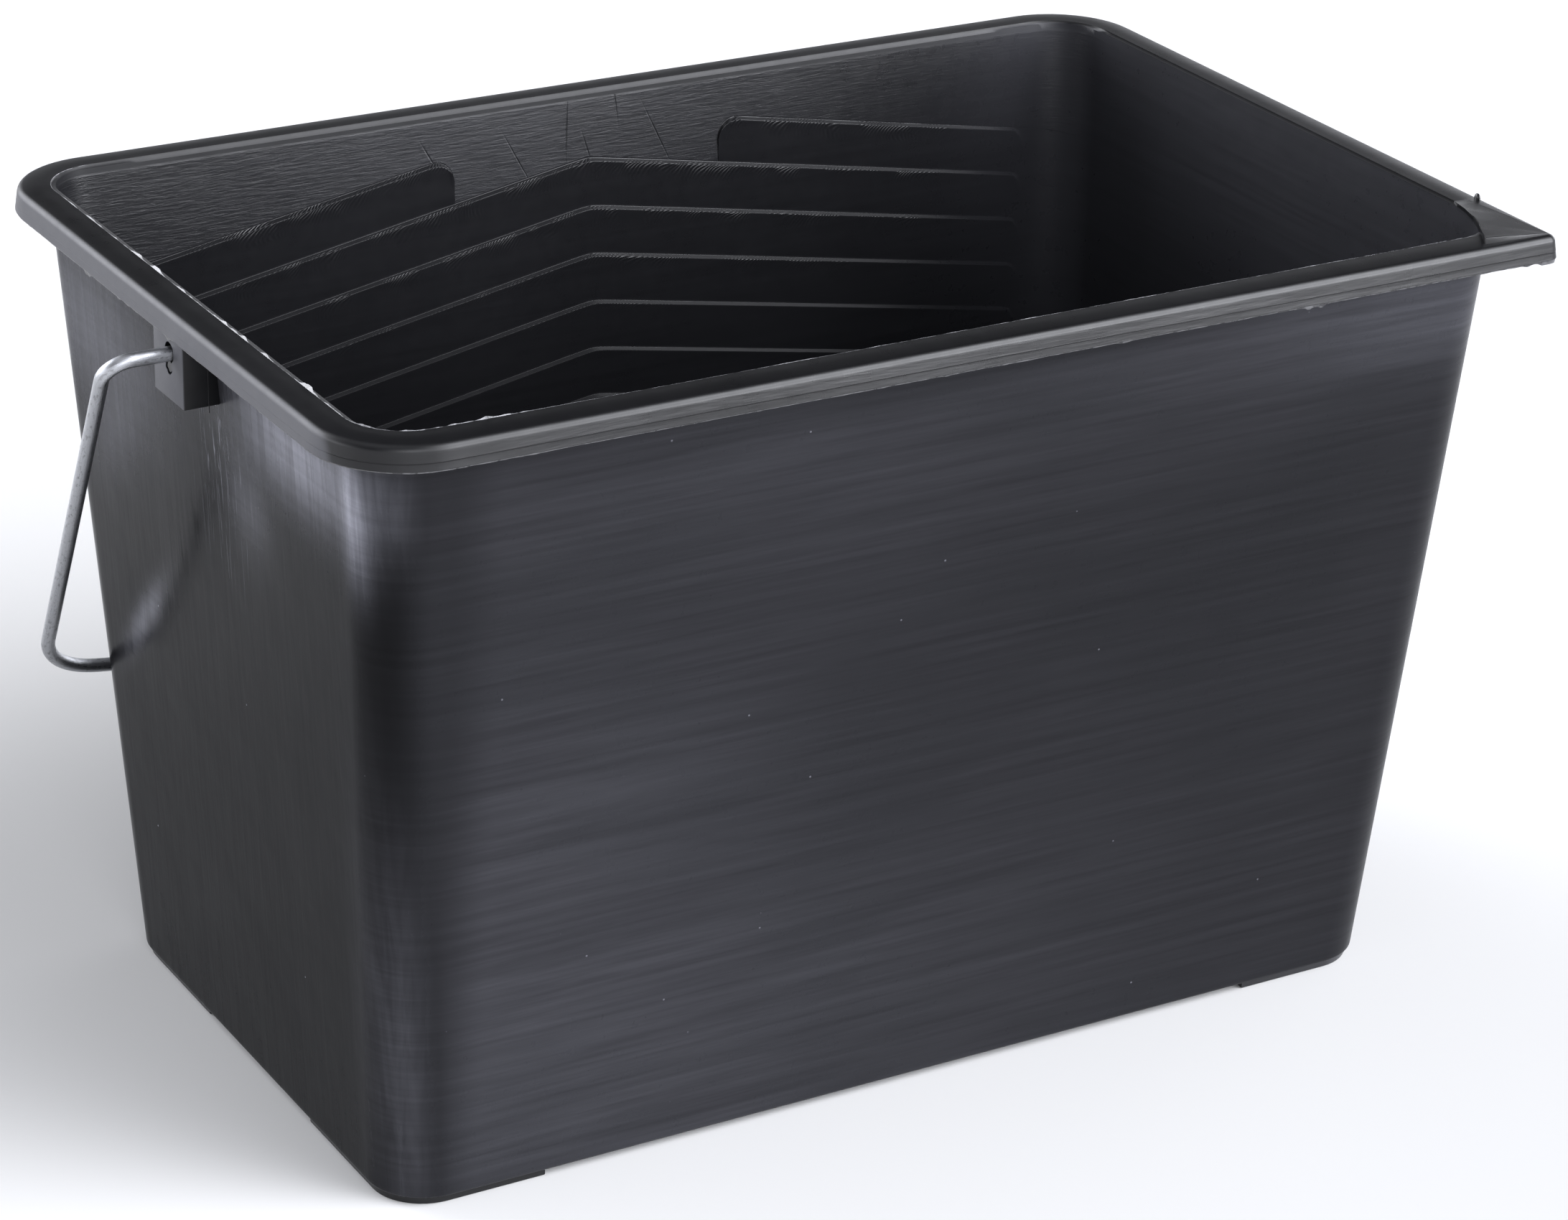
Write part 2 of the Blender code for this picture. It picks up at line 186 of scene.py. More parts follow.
def outline_point(station, half_length, half_width, radius, spout_radius):
    """The x and y of a station on a rounded rectangle."""
    name, kind, value = station
    if kind == "corner":
        side_x, side_y, start = CORNERS[name]
        r = spout_radius if name == "front_right" else radius
        angle = math.radians(start + value)
        return (side_x * (half_length - r) + r * math.cos(angle),
                side_y * (half_width - r) + r * math.sin(angle))
    axis, sign, direction = SIDES[name]
    half_along, half_across = (half_length, half_width) if axis == 0 else (half_width, half_length)
    if kind == "fixed":
        along = value
    else:
        fixed = LONG_FIXED if axis == 0 else SHORT_FIXED
        towards_spout = (name, kind) in (("front", "end"), ("right", "start"))
        limit = half_along - (spout_radius if towards_spout else radius)
        place = fixed + (limit - fixed) * value / (END_STEPS + 1)
        along = place * direction if kind == "end" else -place * direction
    across = sign * half_across
    return (along, across) if axis == 0 else (across, along)


def ledge_end(apex):
    """Where a ledge stops: just short of the rounded corner of the tapered body."""
    end_z = apex - GRID_SLOPE * BASE_HALF_LENGTH
    return half_length_at(end_z) - BODY_CORNER_RADIUS - GRID_END_MARGIN


def body_point(station, z, inset, radius):
    return outline_point(station, half_length_at(z) - inset, half_width_at(z) - inset,
                         radius, radius)


def dent(y, z):
    """How far the left end wall is pushed in at a place: under the lug, and along a diagonal crease."""
    push = 0.7 * MM * math.exp(-((y + 0.012) / 0.022) ** 2 - ((z - 0.176) / 0.020) ** 2)
    across = ((y - 0.046) + (z - 0.122)) * 0.7071
    along = ((z - 0.122) - (y - 0.046)) * 0.7071
    return push + 0.35 * MM * math.exp(-(across / 0.007) ** 2 - (along / 0.026) ** 2)


def grid_row_point(station, apex, next_apex, row):
    """A point of the inside wall on one row of one ledge."""
    kind, height, share = row
    end = ledge_end(apex)
    level = apex - GRID_SLOPE * end
    x, _ = body_point(station, max(level, FLOOR_TOP), WALL, INNER_RADIUS)
    on_back = station[0] == "back"
    reach = min(math.hypot(x, GRID_APEX_ROUND), end) if on_back else end
    weight = ease((end - abs(x)) / GRID_FADE) if on_back else 0.0
    dip = 0.0
    if apex == GRID_APEXES[0] and on_back:
        inside = PANEL_EDGE_X + PANEL_CORNER_RADIUS - abs(x)
        inside = min(max(inside, 0.0), PANEL_CORNER_RADIUS)
        dip = PANEL_CORNER_RADIUS - math.sqrt(PANEL_CORNER_RADIUS ** 2 - inside ** 2)
        if abs(x) < PANEL_EDGE_X:
            weight = 0.0
    line = apex - GRID_SLOPE * reach
    next_line = next_apex - GRID_SLOPE * reach
    edge = line - dip
    index = LEDGE_ROWS.index(row)
    even = LEDGE_LIFT - index / len(LEDGE_ROWS) * (line - next_line)
    if kind == "line":
        z = edge + height * MM
        depth = LEDGE_DEPTH * share * (edge - next_line) / (line - next_line)
    else:
        z = edge + (next_line + LEDGE_LIFT - edge) * height
        depth = LEDGE_DEPTH * (z - next_line) / (line - next_line)
    blend = ease((end + GRID_END_MARGIN - abs(x)) / GRID_FADE) if on_back else 0.0
    z = blend * z + (1.0 - blend) * (line + even)
    x, y = body_point(station, z, WALL, INNER_RADIUS)
    return Vector((x, y - weight * depth, z))


def rim_point(station, inset, z):
    """A point of the rim at the given distance in from its outline; the mouth sits a little off centre."""
    share = min(inset / FLANGE_WIDTH, 1.0)
    radius = max(RIM_CORNER_RADIUS - inset, 1.0 * MM)
    sharp = max(SPOUT_CORNER_RADIUS - inset, SPOUT_LEAST_RADIUS)
    if inset >= SPOUT_CORNER_RADIUS:
        sharp += (RIM_CORNER_RADIUS - FLANGE_WIDTH - SPOUT_LEAST_RADIUS) * share ** 3
    extra = BACK_RIGHT_EXTRA / 2 * share
    x, y = outline_point(station, RIM_HALF_LENGTH - inset - extra, RIM_HALF_WIDTH - inset - extra,
                         radius, sharp)
    return Vector((x - extra, y - extra, z))


def body_row(z, inset, radius):
    return [Vector((*body_point(s, z, inset, radius), z)) for s in STATIONS]


def wall_row(heights):
    """A row of the inside wall with its own height at each station."""
    return [Vector((*body_point(s, z, WALL, INNER_RADIUS), z)) for s, z in zip(STATIONS, heights)]


def rim_row(inset, z):
    return [rim_point(s, inset, z) for s in STATIONS]


def base_edge_rows(bottom, inset, radius, degrees):
    """The rounded edge between the floor and the walls, at each of the angles."""
    rows = []
    for angle in map(math.radians, degrees):
        rows.append(body_row(bottom + BASE_EDGE_RADIUS * (1 - math.cos(angle)),
                             inset + BASE_EDGE_RADIUS * (1 - math.sin(angle)), radius))
    return rows


def inside_rows():
    """From the inside floor up the walls with their ledges to the strip."""
    rows = [body_row(FLOOR_TOP, WALL + BASE_EDGE_RADIUS + FLOOR_MARGIN, INNER_RADIUS - FLOOR_MARGIN)]
    rows += base_edge_rows(FLOOR_TOP, WALL, INNER_RADIUS, BASE_EDGE_DEGREES)
    # the ledges, from the bottom one up
    levels = GRID_APEXES + [GRID_APEXES[-1] - GRID_PITCH]
    ledges = []
    for apex, next_apex in reversed(list(zip(levels, levels[1:]))):
        for row in reversed(LEDGE_ROWS):
            ledges.append([grid_row_point(s, apex, next_apex, row) for s in STATIONS])
    foot = FLOOR_TOP + BASE_EDGE_RADIUS + FOOT_CLEARANCE
    rows.append(wall_row([max(above.z - FOOT_DROP * GRID_PITCH, foot) for above in ledges[0]]))
    rows += ledges
    # evenly up to the strip, with two close rows that keep the wall flat above the ledges
    level = []
    for s in STATIONS:
        x, _ = body_point(s, STRIP_LOW, WALL, INNER_RADIUS)
        low = s[0] == "back" and abs(x) < STRIP_END
        level.append(STRIP_LOW if low else STRIP_RIGHT if s[0] == "right" else STRIP_HIGH)
    for share, gap_mm in UPPER_WALL_ROWS:
        rows.append(wall_row([start.z + (end - start.z) * share + gap_mm * MM
                              for start, end in zip(ledges[-1], level)]))
    rows.append(wall_row(level))
    return rows


def rim_rows():
    """From the strip over the flange, the crown and its tight edge, and down round the skirt."""
    rows = []
    for inset_mm, drop_mm, right_mm in STRIP_ROWS:
        row = []
        for s in STATIONS:
            fall = (right_mm if s[0] == "right" else drop_mm) * MM
            row.append(rim_point(s, FLANGE_WIDTH + inset_mm * MM, RIM_TOP - fall))
        rows.append(row)
    for inset in (FLANGE_WIDTH - 0.1 * MM, FLANGE_WIDTH - 0.5 * MM, CROWN_INSET + 0.3 * MM):
        rows.append(rim_row(inset, RIM_TOP))
    for step in range(CROWN_STEPS + 1):
        angle = math.radians(CROWN_TILT * step / CROWN_STEPS)
        inset = CROWN_INSET - CROWN_RADIUS * math.sin(angle)
        drop = CROWN_RADIUS * (1 - math.cos(angle))
        rows.append(rim_row(inset, RIM_TOP - drop))
    first = math.radians(CROWN_TILT)
    for step in range(1, RIM_EDGE_STEPS + 1):
        angle = math.radians(CROWN_TILT + (RIM_EDGE_TILT - CROWN_TILT) * step / RIM_EDGE_STEPS)
        edge_inset = inset - RIM_EDGE_RADIUS * (math.sin(angle) - math.sin(first))
        edge_z = RIM_TOP - drop - RIM_EDGE_RADIUS * (math.cos(first) - math.cos(angle))
        rows.append(rim_row(edge_inset, edge_z))
    rows.append(rim_row(edge_inset - 0.08 * MM, edge_z - 0.6 * MM))
    # the parting line is a fine groove
    for base, levels in ((PARTING_Z, PARTING_ROWS), (RIM_TOP - SKIRT_HEIGHT, SKIRT_END_ROWS),
                         (FLANGE_UNDER, UNDERSIDE_ROWS)):
        rows += [rim_row(inset_mm * MM, base + rise_mm * MM) for rise_mm, inset_mm in levels]
    return rows


def outside_rows():
    """From under the flange down the outside of the walls to the base."""
    rows = [body_row(FLANGE_UNDER, -OUTER_FILLET, BODY_CORNER_RADIUS + OUTER_FILLET),
            body_row(FLANGE_UNDER - OUTER_FILLET, 0.0, BODY_CORNER_RADIUS)]
    top = FLANGE_UNDER - 1.5 * MM
    bottom = FOOT_HEIGHT + BASE_EDGE_RADIUS + 1.0 * MM
    for step in range(OUTSIDE_STEPS + 1):
        rows.append(body_row(top + (bottom - top) * step / OUTSIDE_STEPS, 0.0, BODY_CORNER_RADIUS))
    rows += base_edge_rows(FOOT_HEIGHT, 0.0, BODY_CORNER_RADIUS, reversed(BASE_EDGE_DEGREES))
    rows.append(body_row(FOOT_HEIGHT, BASE_EDGE_RADIUS + FLOOR_MARGIN, BODY_CORNER_RADIUS - FLOOR_MARGIN))
    return rows


def warped(point):
    """Moves a wall point by the dent at its place, fading out towards the rim and the base."""
    fade = ease(point.z, 0.01, 0.04) * ease(point.z, 0.212, 0.192)
    if point.x > -0.13:
        return point
    return Vector((point.x + dent(point.y, point.z) * fade, point.y, point.z))


def shade(item, degrees):
    """Smooth shading, kept sharp where faces meet at more than the given angle."""
    for face in item.data.polygons:
        face.use_smooth = True
    item.data.set_sharp_from_angle(angle=math.radians(degrees))


def new_object(name, builder, degrees=None):
    """The finished mesh as an object, shaded smooth below the angle if one is given."""
    bmesh.ops.recalc_face_normals(builder, faces=builder.faces)
    mesh = bpy.data.meshes.new(name)
    builder.to_mesh(mesh)
    builder.free()
    item = bpy.data.objects.new(name, mesh)
    bpy.context.scene.collection.objects.link(item)
    if degrees:
        shade(item, degrees)
    return item


def bridge(builder, lower, upper):
    """Quads between two matching closed rings."""
    following = lower[1:] + lower[:1], upper[1:] + upper[:1]
    return [builder.faces.new(corners) for corners in zip(lower, *following, upper)]


def skin(builder, rows):
    """Quads between matching closed rows; returns the first and last rings."""
    rings = [[builder.verts.new(point) for point in row] for row in rows]
    for lower, upper in zip(rings, rings[1:]):
        bridge(builder, lower, upper)
    return rings[0], rings[-1]


def make_shell():
    """The whole moulding in one skin, with the outside of the walls in the second material."""
    builder = bmesh.new()
    before_outside = inside_rows() + rim_rows()
    rows = before_outside + outside_rows()
    first, last = skin(builder, [[warped(point) for point in row] for row in rows])
    builder.faces.ensure_lookup_table()
    for face in builder.faces[len(before_outside) * len(STATIONS):]:
        face.material_index = 1
    builder.faces.new(first)
    builder.faces.new(last)
    return new_object("bucket_shell", builder, 32.0)


# Flash: the thin ragged fins that the mould leaves

FIN_SPACING = 0.55 * MM
FIN_ROOT = 0.12 * MM
RIM_FIN_WIDTH = 0.26 * MM
SKIRT_FIN_WIDTH = 0.34 * MM
CLEAN_SINK = 0.4 * MM


def ragged(distance, seed, scale):
    """Repeatable roughness between 0 and 1 along a length."""
    value = noise.noise(Vector((distance * scale, seed, 0.37)))
    fine = noise.noise(Vector((distance * scale * 3.1, seed + 5.0, 1.7)))
    return min(max(0.5 + 0.9 * value + 0.4 * fine, 0.0), 1.0)


def dense_path(points):
    """The closed path through the points, cut into short steps."""
    path = []
    for point, following in zip(points, points[1:] + points[:1]):
        steps = max(int((following - point).length / FIN_SPACING), 1)
        path += [point.lerp(following, step / steps) for step in range(steps)]
    return path


def make_fin(name, points, direction_of, heights_of, width):
    """A thin closed fin along a closed path; direction_of gives its lean and heights_of its height."""
    path = dense_path(points)
    rows = [[], [], []]
    distance = 0.0
    count = len(path)
    for index, point in enumerate(path):
        tangent = (path[(index + 1) % count] - path[index - 1]).normalized()
        lean = direction_of(point, tangent)
        across = tangent.cross(lean).normalized()
        distance += (point - path[index - 1]).length if index else 0.0
        height = heights_of(distance, point)
        rows[0].append(point - across * width / 2 - lean * FIN_ROOT)
        rows[1].append(point + lean * height)
        rows[2].append(point + across * width / 2 - lean * FIN_ROOT)
    builder = bmesh.new()
    first, last = skin(builder, rows)
    bridge(builder, last, first)
    return new_object(name, builder, 40.0)


def clean_edge(point):
    """1 where the rim has no flash, along the right and back sides, down to 0."""
    right = ease(point.x, 0.10, 0.15) * ease(point.y, -0.09, -0.07)
    back = ease(point.y, 0.098, 0.104) * ease(point.x, -0.15, -0.14)
    return max(right, back)


def rim_flash():
    points = [rim_point(s, FLANGE_WIDTH - 0.02 * MM, RIM_TOP - 0.08 * MM) for s in STATIONS]
    points = [Vector((p.x, p.y, p.z - CLEAN_SINK * clean_edge(p))) for p in points]

    def lean(point, tangent):
        inward = tangent.cross(Vector((0, 0, 1)))
        if inward.dot(Vector((-point.x, -point.y, 0))) < 0:
            inward = -inward
        return (Vector((0, 0, 1)) * 0.8 + inward * 0.5).normalized()

    def height(distance, point):
        rough = ragged(distance, 2.0, 110.0)
        left_side = ease(point.x, -0.115, -0.145) * ease(point.y, 0.10, -0.02)
        front_side = ease(point.y, -0.06, -0.09)
        height_mm = 0.03 + 0.02 * front_side + (0.08 + 0.95 * left_side) * rough ** 3
        return (0.02 + height_mm * (1.0 - clean_edge(point))) * MM

    return make_fin("rim_flash", points, lean, height, RIM_FIN_WIDTH)


def skirt_flash():
    points = [rim_point(s, 0.25 * MM, RIM_TOP - SKIRT_HEIGHT + 0.05 * MM) for s in STATIONS]

    def height(distance, _):
        rough = ragged(distance, 9.0, 140.0)
        nib = ragged(distance, 31.0, 90.0) ** 12
        return (0.22 + 0.16 * rough + 0.75 * nib) * MM

    return make_fin("skirt_flash", points, lambda _, tangent: Vector((0, 0, -1)), height, SKIRT_FIN_WIDTH)


# Pad of the pouring corner: a thin wedge, highest at its left end and flush along the right-hand rim, and
# the torn nib of flash that stands on the rim behind it; outlines and levels in mm

PAD_INNER_EDGE = ((161.8, -81.0), (160.3, -88.0), (158.2, -94.0), (155.4, -100.0), (152.2, -105.4),
                  (149.9, -109.6))
PAD_FRONT_LEFT = (149.4, -110.8)
PAD_TIP = (169.3, -111.6)
PAD_RIGHT_EDGE = ((168.6, -97.0), (166.6, -81.0))
PAD_CORNER_CUT = 0.18 * MM
PAD_INNER_CUT = 0.8 * MM
# From the bottom up: (how far the outline is pulled in, height over the rim's top, share of the wedge)
PAD_LEVELS = ((0.25, -1.2, 0.0), (0.0, -1.0, 0.0), (0.0, -0.2, 1.0), (0.06, -0.06, 1.0), (0.22, 0.0, 1.0),
              (0.45, 0.0, 1.0), (0.8, 0.0, 1.0))
NIB_CENTRE = (169.9, -80.6)
NIB_HALF_X = 0.6 * MM
NIB_HALF_Y = 1.3 * MM
NIB_LEVELS = ((1.0, 218.6), (0.92, 220.0), (0.66, 220.7), (0.34, 221.0))
NIB_SIDES = 10


def make_spout_pad():
    outline = [Vector(p) * MM for p in (*PAD_INNER_EDGE, PAD_FRONT_LEFT, PAD_TIP, *PAD_RIGHT_EDGE)]
    smooth = []
    for index, point in enumerate(outline):
        before, after = outline[index - 1], outline[(index + 1) % len(outline)]
        cut = PAD_INNER_CUT if 0 < index < len(PAD_INNER_EDGE) - 1 else PAD_CORNER_CUT
        start = point + (before - point).normalized() * cut
        end = point + (after - point).normalized() * cut
        smooth += [start, start.lerp(point, 0.5).lerp(point.lerp(end, 0.5), 0.5), end]
    tip, right_top = Vector(PAD_TIP) * MM, Vector(PAD_RIGHT_EDGE[-1]) * MM
    normal = Vector((right_top.y - tip.y, tip.x - right_top.x)).normalized()
    reach = abs((Vector(PAD_FRONT_LEFT) * MM - tip).dot(normal))

    centre = sum(smooth, Vector((0.0, 0.0))) / len(smooth)
    rows = []
    for pull, height, share in PAD_LEVELS:
        row = []
        for p in smooth:
            q = p + (centre - p).normalized() * (pull * MM)
            rise = SPOUT_PAD_HEIGHT * min(abs((p - tip).dot(normal)) / reach, 1.0)
            row.append(Vector((q.x, q.y, RIM_TOP + height * MM + rise * share)))
        rows.append(row)
    builder = bmesh.new()
    first, last = skin(builder, rows)
    caps = [builder.faces.new(first), builder.faces.new(last)]
    nib = Vector(NIB_CENTRE) * MM
    levels = []
    for share, z in NIB_LEVELS:
        half_x, half_y = NIB_HALF_X * share, NIB_HALF_Y * share
        levels.append([Vector((nib.x + half_x * math.cos(a), nib.y + half_y * math.sin(a), z * MM))
                       for a in turns(NIB_SIDES)])
    nib_first, nib_last = skin(builder, levels)
    caps += [builder.faces.new(nib_first), builder.faces.new(nib_last)]
    bmesh.ops.triangulate(builder, faces=caps)
    return new_object("spout_pad", builder, 35.0)


# Lugs that hold the wire

LUG_CENTRE_Y = -5.2 * MM
LUG_WIDTH = 18.0 * MM
LUG_BOTTOM = 196.2 * MM
LUG_INSET = 0.75 * MM
HOLE_RADIUS = 2.7 * MM
HOLE_Z = 208.8 * MM
HOLE_Y = -6.0 * MM
HOLE_DEPTH = 8.2 * MM
HOLE_SIDES = 48
TEAR_Y = -5.6 * MM
TEAR_Z = 204.9 * MM
TEAR_HALF_WIDTH = 2.0 * MM
TEAR_HALF_HEIGHT = 1.9 * MM
TEAR_SIDES = 32
TEAR_DEPTH = 2.2 * MM
FLAP_SHARE = 0.70
FLAP_DEPTH = 0.25 * MM
LUG_FIN_X = 164.9 * MM
LUG_FIN_HALF_X = 0.12 * MM
LUG_FIN_HALF_Y = 0.14 * MM


def combine(target, other, operation):
    """Join or cut with an exact Boolean, keep the result as the target's mesh and drop the helper."""
    modifier = target.modifiers.new("combine", "BOOLEAN")
    modifier.operation = operation
    modifier.solver = "EXACT"
    modifier.object = other
    graph = bpy.context.evaluated_depsgraph_get()
    result = bpy.data.meshes.new_from_object(target.evaluated_get(graph))
    target.modifiers.clear()
    target.data = result
    bpy.data.objects.remove(other, do_unlink=True)


def prism(name, lower, upper):
    """Closed solid between two matching closed outlines."""
    builder = bmesh.new()
    first, last = skin(builder, [lower, upper])
    builder.faces.new(first)
    builder.faces.new(list(reversed(last)))
    return new_object(name, builder)


def bar(name, outline, start, end):
    """Closed solid along x over an outline in y and z."""
    return prism(name, *[[Vector((x, y, z)) for y, z in outline] for x in (start, end)])


def rounded_box(name, low, high, radius, segments=3):
    corners = ((low[0], low[1]), (high[0], low[1]), (high[0], high[1]), (low[0], high[1]))
    item = prism(name, *[[Vector((x, y, z)) for x, y in corners] for z in (low[2], high[2])])
    builder = bmesh.new()
    builder.from_mesh(item.data)
    bmesh.ops.bevel(builder, geom=builder.edges[:], offset=radius, segments=segments, profile=0.5,
                    affect="EDGES")
    builder.to_mesh(item.data)
    builder.free()
    return item


def make_lug(side):
    name = "bail_lug_left" if side < 0 else "bail_lug_right"
    outer = side * (RIM_HALF_LENGTH - LUG_INSET)
    root = side * (half_length_at(LUG_BOTTOM) - 0.3 * MM)
    low = (min(outer, root), LUG_CENTRE_Y - LUG_WIDTH / 2, LUG_BOTTOM)
    high = (max(outer, root), LUG_CENTRE_Y + LUG_WIDTH / 2, FLANGE_UNDER + 0.8 * MM)
    lug = rounded_box(name, low, high, 0.35 * MM)
    # the parting fin down both sides, which drips a little below the lug
    fin_x = side * LUG_FIN_X
    for y in (low[1], high[1]):
        fin_low = (fin_x - LUG_FIN_HALF_X, y - LUG_FIN_HALF_Y, LUG_BOTTOM - 1.6 * MM)
        fin_high = (fin_x + LUG_FIN_HALF_X, y + LUG_FIN_HALF_Y, RIM_TOP - SKIRT_HEIGHT + 2.0 * MM)
        combine(lug, rounded_box("fin", fin_low, fin_high, 0.05 * MM, 1), "UNION")
    bottom = outer - side * HOLE_DEPTH
    ring = [(HOLE_Y + HOLE_RADIUS * math.cos(angle), HOLE_Z + HOLE_RADIUS * math.sin(angle))
            for angle in turns(HOLE_SIDES)]
    combine(lug, bar("drill", ring, bottom, outer + side * 2 * MM), "DIFFERENCE")
    # the torn patch under the hole: a loose flap with a deep gap round it
    for share, depth, operation in ((1.0, TEAR_DEPTH, "DIFFERENCE"), (FLAP_SHARE, FLAP_DEPTH, "UNION")):
        torn = []
        for angle in turns(TEAR_SIDES):
            reach = 1.0 + 0.30 * noise.noise(Vector((math.cos(angle) * 2, math.sin(angle) * 2, side)))
            torn.append((TEAR_Y + TEAR_HALF_WIDTH * share * reach * math.cos(angle),
                         TEAR_Z + TEAR_HALF_HEIGHT * share * reach * math.sin(angle)))
        start = outer - side * 2.4 * MM if operation == "UNION" else outer + side * 1.0 * MM
        lower, upper = sorted((start, outer - side * depth))
        combine(lug, bar("tear", torn, lower, upper), operation)
    shade(lug, 35.0)
    return lug


# Feet: an L-shaped pad under each corner of the floor

FOOT_REACH_X = 43.0 * MM
FOOT_REACH_Y = 53.0 * MM
FOOT_BREADTH = 8.0 * MM
FOOT_INSET = 1.1 * MM
FOOT_STEPS = 12
# From the top down: (height, how far the edge is pulled in)
FOOT_LEVELS = ((FOOT_HEIGHT + FLOOR_THICKNESS / 3, 0.0), (0.45 * MM, 0.0), (0.13 * MM, 0.13 * MM),
               (0.0, 0.45 * MM))
SAME_PLACE = 1e-6


def make_feet():
    centre_x, centre_y = BASE_HALF_LENGTH - BODY_CORNER_RADIUS, BASE_HALF_WIDTH - BODY_CORNER_RADIUS
    end_x, end_y = BASE_HALF_LENGTH - FOOT_REACH_X, BASE_HALF_WIDTH - FOOT_REACH_Y
    quarter = [math.radians(90.0 - 90.0 * step / FOOT_STEPS) for step in range(FOOT_STEPS + 1)]

    def long_side(radius):
        """One long side of the L, from its end by the long wall round to its end by the short wall."""
        bend = [(centre_x + radius * math.cos(a), centre_y + radius * math.sin(a)) for a in quarter]
        return [Vector(p) for p in ((end_x, centre_y + radius), *bend, (centre_x + radius, end_y))]

    outer = long_side(BODY_CORNER_RADIUS - FOOT_INSET)
    inner = long_side(BODY_CORNER_RADIUS - FOOT_INSET - FOOT_BREADTH)
    builder = bmesh.new()
    for side_x in (-1, 1):
        for side_y in (-1, 1):
            rings = []
            for z, pull in FOOT_LEVELS:
                steps = [(b - a).normalized() * pull for a, b in zip(outer, inner)]
                loop = [a + step for a, step in zip(outer, steps)]
                loop += reversed([b - step for b, step in zip(inner, steps)])
                for p in loop:
                    p.x += pull if abs(p.x - end_x) < SAME_PLACE else 0.0
                    p.y += pull if abs(p.y - end_y) < SAME_PLACE else 0.0
                rings.append([Vector((side_x * p.x, side_y * p.y, z)) for p in loop])
            for cap in skin(builder, rings):
                for i in range(len(outer) - 1):
                    builder.faces.new((cap[i], cap[i + 1], cap[-i - 2], cap[-i - 1]))
    return new_object("corner_feet", builder, 35.0)


# Wire bail

WIRE_RADIUS = 1.9 * MM
WIRE_SIDES = 28
PIVOT_Y = -6.2 * MM
PIVOT_Z = 208.5 * MM
HANG_ANGLE = math.radians(37.75)
LEG_TOP_X = 188.54 * MM
LEG_LEAN = math.atan(0.1075)
BAIL_REACH = 165.1 * MM
TOP_BEND_RADIUS = 6.5 * MM
LOW_BEND_RADIUS = 24.7 * MM
CROSSBAR_BEND_RADIUS = 87.0 * MM
CROSSBAR_BEND = 0.28
WIRE_END_X = 165.2 * MM
WIRE_END_SHARE = 0.86


def arc(centre, radius, start, end, steps):
    angles = [start + (end - start) * step / steps for step in range(steps + 1)]
    return [(centre[0] + radius * math.cos(a), centre[1] + radius * math.sin(a)) for a in angles]


def line(start, end, steps):
    """Points between two ends, without the ends."""
    return [(start[0] + (end[0] - start[0]) * step / steps, start[1] + (end[1] - start[1]) * step / steps)
            for step in range(1, steps)]


def bail_half_path():
    """Right half of the bail in its own plane, from the crossbar's middle to the end in the lug."""
    leg_heading = math.pi / 2 - LEG_LEAN
    run = CROSSBAR_BEND_RADIUS * math.sin(CROSSBAR_BEND)
    rise = CROSSBAR_BEND_RADIUS * (1 - math.cos(CROSSBAR_BEND))
    run += LOW_BEND_RADIUS * (math.sin(leg_heading) - math.sin(CROSSBAR_BEND))
    rise += LOW_BEND_RADIUS * (math.cos(CROSSBAR_BEND) - math.cos(leg_heading))
    leg_start = BAIL_REACH - rise
    straight_end = LEG_TOP_X - math.tan(LEG_LEAN) * leg_start - run
    points = [(0.0, BAIL_REACH)] + line((0.0, BAIL_REACH), (straight_end, BAIL_REACH), 30)
    points += arc((straight_end, BAIL_REACH - CROSSBAR_BEND_RADIUS), CROSSBAR_BEND_RADIUS,
                  math.pi / 2, math.pi / 2 - CROSSBAR_BEND, 14)
    x, reach = points[-1]
    centre = (x - LOW_BEND_RADIUS * math.sin(CROSSBAR_BEND),
              reach - LOW_BEND_RADIUS * math.cos(CROSSBAR_BEND))
    points += arc(centre, LOW_BEND_RADIUS, math.pi / 2 - CROSSBAR_BEND, LEG_LEAN, 22)[1:]
    tangent = TOP_BEND_RADIUS * math.tan((math.pi / 2 + LEG_LEAN) / 2)
    bend_start = (LEG_TOP_X - tangent * math.sin(LEG_LEAN), tangent * math.cos(LEG_LEAN))
    points += line(points[-1], bend_start, 34)
    points += arc((LEG_TOP_X - tangent, TOP_BEND_RADIUS), TOP_BEND_RADIUS, LEG_LEAN, -math.pi / 2, 18)
    points += line(points[-1], (WIRE_END_X, 0.0), 6)
    points.append((WIRE_END_X, 0.0))
    return points


